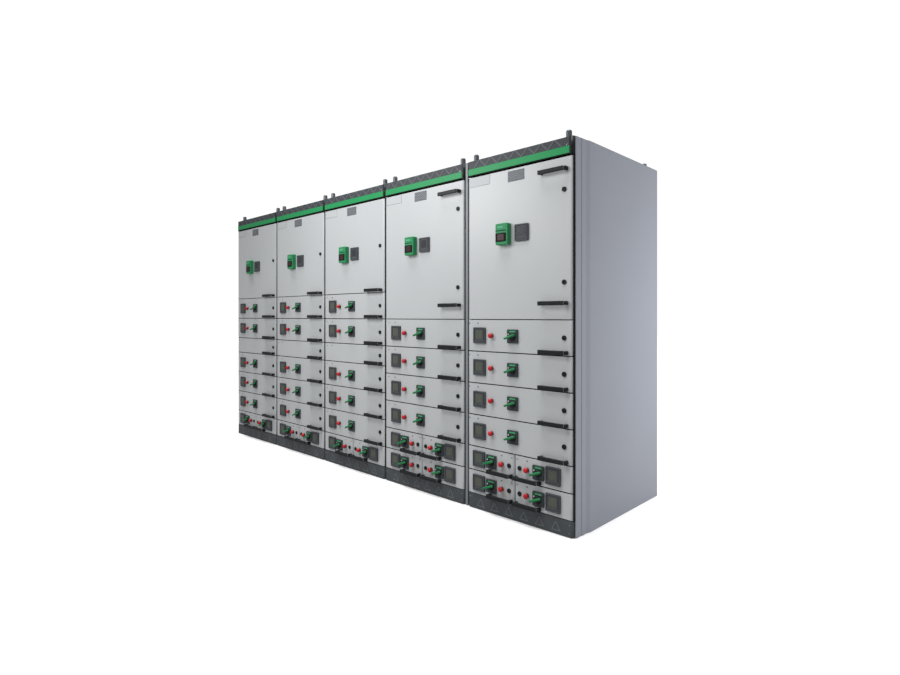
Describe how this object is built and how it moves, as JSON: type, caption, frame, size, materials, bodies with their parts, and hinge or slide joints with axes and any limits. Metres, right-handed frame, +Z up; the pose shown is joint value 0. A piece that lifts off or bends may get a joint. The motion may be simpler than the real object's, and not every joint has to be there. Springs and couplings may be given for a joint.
{
  "type": "low-voltage switchgear",
  "caption": "Free-standing low-voltage switchboard line-up: cubicles with hinged upper doors over stacks of withdrawable motor-control drawers",
  "frame": {"origin": "middle of the bounding box, on the floor", "axes": "X along the line-up to the right as seen from the front, the fronts face -Y, Z up"},
  "size_m": [4.03, 1.102, 2.252],
  "materials": {
    "front_paint": "fine-textured light grey powder coat",
    "sheet_steel": "zinc-coated sheet, folded",
    "anthracite_paint": "anthracite powder coat",
    "side_paint": "grey powder coat",
    "grey_paint": "grey powder coat",
    "green_paint": "green satin paint",
    "seal_black": "black sealing strip",
    "cast_cap": "silver-grey satin cap",
    "busbar_metal": "drawn copper",
    "moulded_red": "red-brown moulded insulation",
    "moulded_grey": "dark moulded case",
    "lock_black": "black moulded lock",
    "green_plastic": "green moulded handle",
    "red_plastic": "glossy red"
  },
  "bodies": {
    "line_up": {"frame": "sheet_steel", "plinths": "anthracite_paint", "compartments": "sheet_steel", "side_panels": "side_paint", "roof_plates": "grey_paint", "rear_covers": "grey_paint", "header_fascias": "anthracite_paint", "header_bands": "green_paint", "edge_strips": "seal_black", "lifting_bolts": "cast_cap", "busbars": "busbar_metal", "insulators": "moulded_red", "circuit_breakers": "moulded_grey", "fixed_units": "front_paint"},
    "door_5": {"door_5": "front_paint"},
    "door_lock_1": {"door_lock_1": "lock_black"},
    "door_lock_2": {"door_lock_2": "lock_black"},
    "unit_5_1": {"unit_5_1": "front_paint"},
    "rotary_handle_1": {"rotary_handle_1": "green_plastic"},
    "push_button_1": {"push_button_1": "red_plastic"},
    "unit_5_2": {"unit_5_2": "front_paint"},
    "rotary_handle_2": {"rotary_handle_2": "green_plastic"},
    "push_button_2": {"push_button_2": "red_plastic"},
    "unit_5_3": {"unit_5_3": "front_paint"},
    "rotary_handle_3": {"rotary_handle_3": "green_plastic"},
    "push_button_3": {"push_button_3": "red_plastic"},
    "unit_5_4": {"unit_5_4": "front_paint"},
    "rotary_handle_4": {"rotary_handle_4": "green_plastic"},
    "push_button_4": {"push_button_4": "red_plastic"},
    "unit_5_5": {"unit_5_5": "front_paint"},
    "rotary_handle_5": {"rotary_handle_5": "green_plastic"},
    "push_button_5": {"push_button_5": "red_plastic"},
    "unit_5_6": {"unit_5_6": "front_paint"},
    "rotary_handle_6": {"rotary_handle_6": "green_plastic"},
    "push_button_6": {"push_button_6": "red_plastic"},
    "unit_5_7": {"unit_5_7": "front_paint"},
    "rotary_handle_7": {"rotary_handle_7": "green_plastic"},
    "push_button_7": {"push_button_7": "red_plastic"},
    "unit_5_8": {"unit_5_8": "front_paint"},
    "rotary_handle_8": {"rotary_handle_8": "green_plastic"},
    "push_button_8": {"push_button_8": "red_plastic"},
    "unit_4_1": {"unit_4_1": "front_paint"},
    "unit_4_2": {"unit_4_2": "front_paint"},
    "unit_4_3": {"unit_4_3": "front_paint"},
    "unit_4_4": {"unit_4_4": "front_paint"},
    "unit_4_5": {"unit_4_5": "front_paint"},
    "unit_4_6": {"unit_4_6": "front_paint"},
    "unit_4_7": {"unit_4_7": "front_paint"},
    "unit_4_8": {"unit_4_8": "front_paint"},
    "unit_3_1": {"unit_3_1": "front_paint"},
    "unit_3_2": {"unit_3_2": "front_paint"},
    "unit_3_4": {"unit_3_4": "front_paint"},
    "unit_3_5": {"unit_3_5": "front_paint"},
    "unit_3_6": {"unit_3_6": "front_paint"},
    "unit_3_7": {"unit_3_7": "front_paint"},
    "unit_3_8": {"unit_3_8": "front_paint"},
    "door_4": {"door_4": "front_paint"},
    "door_3": {"door_3": "front_paint"},
    "door_2": {"door_2": "front_paint"},
    "door_1": {"door_1": "front_paint"}
  },
  "joints": [
    {"name": "door_5_hinge", "type": "hinge", "parent": "line_up", "child": "door_5", "pos_m": [1.243, -0.477, 1.645], "axis": [0, 0, -1], "range_deg": [0, 90]},
    {"name": "door_lock_1_turn", "type": "hinge", "parent": "door_5", "child": "door_lock_1", "pos_m": [1.943, -0.489, 1.914], "axis": [0, 1, 0], "range_deg": [0, 90]},
    {"name": "door_lock_2_turn", "type": "hinge", "parent": "door_5", "child": "door_lock_2", "pos_m": [1.943, -0.489, 1.403], "axis": [0, 1, 0], "range_deg": [0, 90]},
    {"name": "unit_5_1_slide", "type": "slide", "parent": "line_up", "child": "unit_5_1", "axis": [0, -1, 0], "range_m": [0, 0.4]},
    {"name": "rotary_handle_1_turn", "type": "hinge", "parent": "unit_5_1", "child": "rotary_handle_1", "pos_m": [1.59, -0.489, 1.095], "axis": [0, 1, 0], "range_deg": [0, 90]},
    {"name": "push_button_1_press", "type": "slide", "parent": "unit_5_1", "child": "push_button_1", "axis": [0, 1, 0], "range_m": [0, 0.005], "stiffness_N_per_m": 800},
    {"name": "unit_5_2_slide", "type": "slide", "parent": "line_up", "child": "unit_5_2", "axis": [0, -1, 0], "range_m": [0, 0.4]},
    {"name": "rotary_handle_2_turn", "type": "hinge", "parent": "unit_5_2", "child": "rotary_handle_2", "pos_m": [1.59, -0.489, 0.895], "axis": [0, 1, 0], "range_deg": [0, 90]},
    {"name": "push_button_2_press", "type": "slide", "parent": "unit_5_2", "child": "push_button_2", "axis": [0, 1, 0], "range_m": [0, 0.005], "stiffness_N_per_m": 800},
    {"name": "unit_5_3_slide", "type": "slide", "parent": "line_up", "child": "unit_5_3", "axis": [0, -1, 0], "range_m": [0, 0.4]},
    {"name": "rotary_handle_3_turn", "type": "hinge", "parent": "unit_5_3", "child": "rotary_handle_3", "pos_m": [1.59, -0.489, 0.695], "axis": [0, 1, 0], "range_deg": [0, 90]},
    {"name": "push_button_3_press", "type": "slide", "parent": "unit_5_3", "child": "push_button_3", "axis": [0, 1, 0], "range_m": [0, 0.005], "stiffness_N_per_m": 800},
    {"name": "unit_5_4_slide", "type": "slide", "parent": "line_up", "child": "unit_5_4", "axis": [0, -1, 0], "range_m": [0, 0.4]},
    {"name": "rotary_handle_4_turn", "type": "hinge", "parent": "unit_5_4", "child": "rotary_handle_4", "pos_m": [1.59, -0.489, 0.495], "axis": [0, 1, 0], "range_deg": [0, 90]},
    {"name": "push_button_4_press", "type": "slide", "parent": "unit_5_4", "child": "push_button_4", "axis": [0, 1, 0], "range_m": [0, 0.005], "stiffness_N_per_m": 800},
    {"name": "unit_5_5_slide", "type": "slide", "parent": "line_up", "child": "unit_5_5", "axis": [0, -1, 0], "range_m": [0, 0.4]},
    {"name": "rotary_handle_5_turn", "type": "hinge", "parent": "unit_5_5", "child": "rotary_handle_5", "pos_m": [1.426, -0.489, 0.32], "axis": [0, 1, 0], "range_deg": [0, 90]},
    {"name": "push_button_5_press", "type": "slide", "parent": "unit_5_5", "child": "push_button_5", "axis": [0, 1, 0], "range_m": [0, 0.005], "stiffness_N_per_m": 800},
    {"name": "unit_5_6_slide", "type": "slide", "parent": "line_up", "child": "unit_5_6", "axis": [0, -1, 0], "range_m": [0, 0.4]},
    {"name": "rotary_handle_6_turn", "type": "hinge", "parent": "unit_5_6", "child": "rotary_handle_6", "pos_m": [1.774, -0.489, 0.32], "axis": [0, 1, 0], "range_deg": [0, 90]},
    {"name": "push_button_6_press", "type": "slide", "parent": "unit_5_6", "child": "push_button_6", "axis": [0, 1, 0], "range_m": [0, 0.005], "stiffness_N_per_m": 800},
    {"name": "unit_5_7_slide", "type": "slide", "parent": "line_up", "child": "unit_5_7", "axis": [0, -1, 0], "range_m": [0, 0.4]},
    {"name": "rotary_handle_7_turn", "type": "hinge", "parent": "unit_5_7", "child": "rotary_handle_7", "pos_m": [1.426, -0.489, 0.17], "axis": [0, 1, 0], "range_deg": [0, 90]},
    {"name": "push_button_7_press", "type": "slide", "parent": "unit_5_7", "child": "push_button_7", "axis": [0, 1, 0], "range_m": [0, 0.005], "stiffness_N_per_m": 800},
    {"name": "unit_5_8_slide", "type": "slide", "parent": "line_up", "child": "unit_5_8", "axis": [0, -1, 0], "range_m": [0, 0.4]},
    {"name": "rotary_handle_8_turn", "type": "hinge", "parent": "unit_5_8", "child": "rotary_handle_8", "pos_m": [1.774, -0.489, 0.17], "axis": [0, 1, 0], "range_deg": [0, 90]},
    {"name": "push_button_8_press", "type": "slide", "parent": "unit_5_8", "child": "push_button_8", "axis": [0, 1, 0], "range_m": [0, 0.005], "stiffness_N_per_m": 800},
    {"name": "unit_4_5_slide", "type": "slide", "parent": "line_up", "child": "unit_4_5", "axis": [0, -1, 0], "range_m": [0, 0.4]},
    {"name": "unit_3_5_slide", "type": "slide", "parent": "line_up", "child": "unit_3_5", "axis": [0, -1, 0], "range_m": [0, 0.4]},
    {"name": "unit_4_1_slide", "type": "slide", "parent": "line_up", "child": "unit_4_1", "axis": [0, -1, 0], "range_m": [0, 0.4]},
    {"name": "unit_4_2_slide", "type": "slide", "parent": "line_up", "child": "unit_4_2", "axis": [0, -1, 0], "range_m": [0, 0.4]},
    {"name": "unit_4_3_slide", "type": "slide", "parent": "line_up", "child": "unit_4_3", "axis": [0, -1, 0], "range_m": [0, 0.4]},
    {"name": "unit_4_4_slide", "type": "slide", "parent": "line_up", "child": "unit_4_4", "axis": [0, -1, 0], "range_m": [0, 0.4]},
    {"name": "unit_4_6_slide", "type": "slide", "parent": "line_up", "child": "unit_4_6", "axis": [0, -1, 0], "range_m": [0, 0.4]},
    {"name": "unit_4_7_slide", "type": "slide", "parent": "line_up", "child": "unit_4_7", "axis": [0, -1, 0], "range_m": [0, 0.4]},
    {"name": "unit_4_8_slide", "type": "slide", "parent": "line_up", "child": "unit_4_8", "axis": [0, -1, 0], "range_m": [0, 0.4]},
    {"name": "unit_3_1_slide", "type": "slide", "parent": "line_up", "child": "unit_3_1", "axis": [0, -1, 0], "range_m": [0, 0.4]},
    {"name": "unit_3_2_slide", "type": "slide", "parent": "line_up", "child": "unit_3_2", "axis": [0, -1, 0], "range_m": [0, 0.4]},
    {"name": "unit_3_4_slide", "type": "slide", "parent": "line_up", "child": "unit_3_4", "axis": [0, -1, 0], "range_m": [0, 0.4]},
    {"name": "unit_3_6_slide", "type": "slide", "parent": "line_up", "child": "unit_3_6", "axis": [0, -1, 0], "range_m": [0, 0.4]},
    {"name": "unit_3_7_slide", "type": "slide", "parent": "line_up", "child": "unit_3_7", "axis": [0, -1, 0], "range_m": [0, 0.4]},
    {"name": "unit_3_8_slide", "type": "slide", "parent": "line_up", "child": "unit_3_8", "axis": [0, -1, 0], "range_m": [0, 0.4]},
    {"name": "door_4_hinge", "type": "hinge", "parent": "line_up", "child": "door_4", "pos_m": [0.417, -0.477, 1.645], "axis": [0, 0, -1], "range_deg": [0, 90]},
    {"name": "door_3_hinge", "type": "hinge", "parent": "line_up", "child": "door_3", "pos_m": [-0.383, -0.477, 1.745], "axis": [0, 0, -1], "range_deg": [0, 90]},
    {"name": "door_2_hinge", "type": "hinge", "parent": "line_up", "child": "door_2", "pos_m": [-1.183, -0.477, 1.745], "axis": [0, 0, -1], "range_deg": [0, 90]},
    {"name": "door_1_hinge", "type": "hinge", "parent": "line_up", "child": "door_1", "pos_m": [-1.983, -0.477, 1.745], "axis": [0, 0, -1], "range_deg": [0, 90]}
  ]
}
